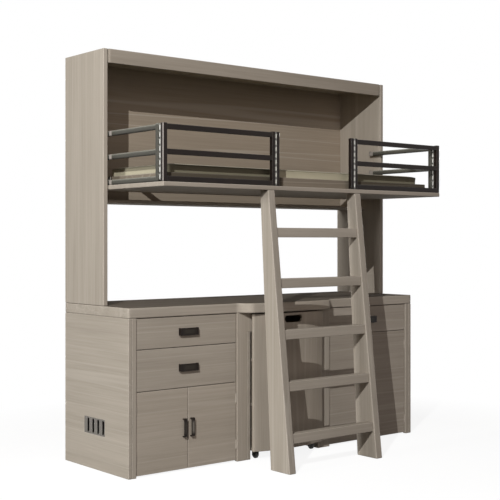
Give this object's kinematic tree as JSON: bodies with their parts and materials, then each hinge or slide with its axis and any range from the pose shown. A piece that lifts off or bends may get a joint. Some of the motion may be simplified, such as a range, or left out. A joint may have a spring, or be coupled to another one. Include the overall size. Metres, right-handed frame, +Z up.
{
  "type": "wall bed",
  "caption": "Fold-down bunk with guard rails in an open tower, standing on a bow-front desk with cupboards, drawers, a castered kneehole cabinet and a leaning ladder.",
  "frame": {"origin": "on the floor, at the middle of the width and of the depth from the ladder's feet to the wall", "axes": "+Z up, +Y towards the wall, +X to the right as seen from the front"},
  "size_m": [2.06, 1.0474, 2.1685],
  "materials": {
    "laminate": "satin streaked oak-look laminate",
    "laminate_inside": "matte laminate",
    "bronze": "dark bronze satin",
    "steel": "satin",
    "ticking": "woven cover",
    "vent_grey": "satin grey",
    "black_plastic": "matte"
  },
  "bodies": {
    "frame": {"desk_top": "laminate", "tower_side_left": "laminate", "tower_side_right": "laminate", "tower_top": "laminate", "tower_fascia": "laminate", "tower_back": "laminate", "tower_bottom_shelf": "laminate", "left_pivot_pin": "steel", "right_pivot_pin": "steel", "vent_grille": "vent_grey", "left_cabinet_outer_side": "laminate", "left_cabinet_inner_side": "laminate", "left_cabinet_inside": "laminate_inside", "left_outer_stile": "laminate", "left_inner_stile": "laminate", "right_cabinet_outer_side": "laminate", "right_cabinet_inner_side": "laminate", "right_cabinet_inside": "laminate_inside", "right_outer_stile": "laminate", "right_inner_stile": "laminate"},
    "bed": {"bed_platform": "laminate", "mattress_frame": "laminate", "mattress": "ticking", "left_pivot_bracket": "steel", "right_pivot_bracket": "steel", "left_front_rail": "bronze", "left_side_rail": "bronze", "right_front_rail": "bronze", "right_side_rail": "bronze"},
    "ladder": {"ladder_stringer_left": "laminate", "ladder_stringer_right": "laminate", "ladder_rung_1": "laminate", "ladder_rung_2": "laminate", "ladder_rung_3": "laminate", "ladder_rung_4": "laminate", "ladder_rung_5": "laminate"},
    "left_upper_drawer": {"left_upper_drawer_front": "laminate", "left_upper_drawer_box": "laminate_inside", "left_upper_drawer_handle": "bronze"},
    "left_lower_drawer": {"left_lower_drawer_front": "laminate", "left_lower_drawer_box": "laminate_inside", "left_lower_drawer_handle": "bronze"},
    "right_drawer": {"right_drawer_front": "laminate", "right_drawer_box": "laminate_inside", "right_drawer_handle": "bronze"},
    "left_outer_door": {"left_outer_door": "laminate", "left_outer_door_handle": "bronze"},
    "left_inner_door": {"left_inner_door": "laminate", "left_inner_door_handle": "bronze"},
    "right_inner_door": {"right_inner_door": "laminate", "right_inner_door_handle": "bronze"},
    "right_outer_door": {"right_outer_door": "laminate", "right_outer_door_handle": "bronze"},
    "pedestal": {"pedestal_front": "laminate", "pedestal_inside": "laminate_inside", "pedestal_base": "laminate_inside"},
    "caster_front_left": {"caster_wheel_front_left": "black_plastic"},
    "caster_front_right": {"caster_wheel_front_right": "black_plastic"},
    "caster_rear_left": {"caster_wheel_rear_left": "black_plastic"},
    "caster_rear_right": {"caster_wheel_rear_right": "black_plastic"}
  },
  "joints": [
    {"name": "bed_fold", "type": "hinge", "parent": "frame", "child": "bed", "pos_m": [0, 0.1879, 1.4924], "axis": [-1, 0, 0], "range_deg": [0, 90]},
    {"name": "ladder_pull", "type": "slide", "parent": "frame", "child": "ladder", "axis": [0, -1, 0], "range_m": [0, 0.5]},
    {"name": "left_upper_drawer_slide", "type": "slide", "parent": "frame", "child": "left_upper_drawer", "axis": [0, -1, 0], "range_m": [0, 0.4]},
    {"name": "left_lower_drawer_slide", "type": "slide", "parent": "frame", "child": "left_lower_drawer", "axis": [0, -1, 0], "range_m": [0, 0.4]},
    {"name": "right_drawer_slide", "type": "slide", "parent": "frame", "child": "right_drawer", "axis": [0, -1, 0], "range_m": [0, 0.4]},
    {"name": "left_outer_door_hinge", "type": "hinge", "parent": "frame", "child": "left_outer_door", "pos_m": [-0.9805, -0.0947, 0.2159], "axis": [0, 0, -1], "range_deg": [0, 100]},
    {"name": "left_inner_door_hinge", "type": "hinge", "parent": "frame", "child": "left_inner_door", "pos_m": [-0.343, -0.0947, 0.2159], "axis": [0, 0, 1], "range_deg": [0, 80]},
    {"name": "right_inner_door_hinge", "type": "hinge", "parent": "frame", "child": "right_inner_door", "pos_m": [0.343, -0.0947, 0.3211], "axis": [0, 0, -1], "range_deg": [0, 80]},
    {"name": "right_outer_door_hinge", "type": "hinge", "parent": "frame", "child": "right_outer_door", "pos_m": [0.9805, -0.0947, 0.3211], "axis": [0, 0, 1], "range_deg": [0, 100]},
    {"name": "pedestal_roll", "type": "slide", "parent": "frame", "child": "pedestal", "axis": [0, -1, 0], "range_m": [0, 0.2]},
    {"name": "caster_front_left_spin", "type": "hinge", "parent": "pedestal", "child": "caster_front_left", "pos_m": [-0.205, -0.0881, 0.021], "axis": [1, 0, 0], "continuous": true},
    {"name": "caster_front_right_spin", "type": "hinge", "parent": "pedestal", "child": "caster_front_right", "pos_m": [0.205, -0.0881, 0.021], "axis": [1, 0, 0], "continuous": true},
    {"name": "caster_rear_left_spin", "type": "hinge", "parent": "pedestal", "child": "caster_rear_left", "pos_m": [-0.205, 0.3474, 0.021], "axis": [1, 0, 0], "continuous": true},
    {"name": "caster_rear_right_spin", "type": "hinge", "parent": "pedestal", "child": "caster_rear_right", "pos_m": [0.205, 0.3474, 0.021], "axis": [1, 0, 0], "continuous": true}
  ]
}
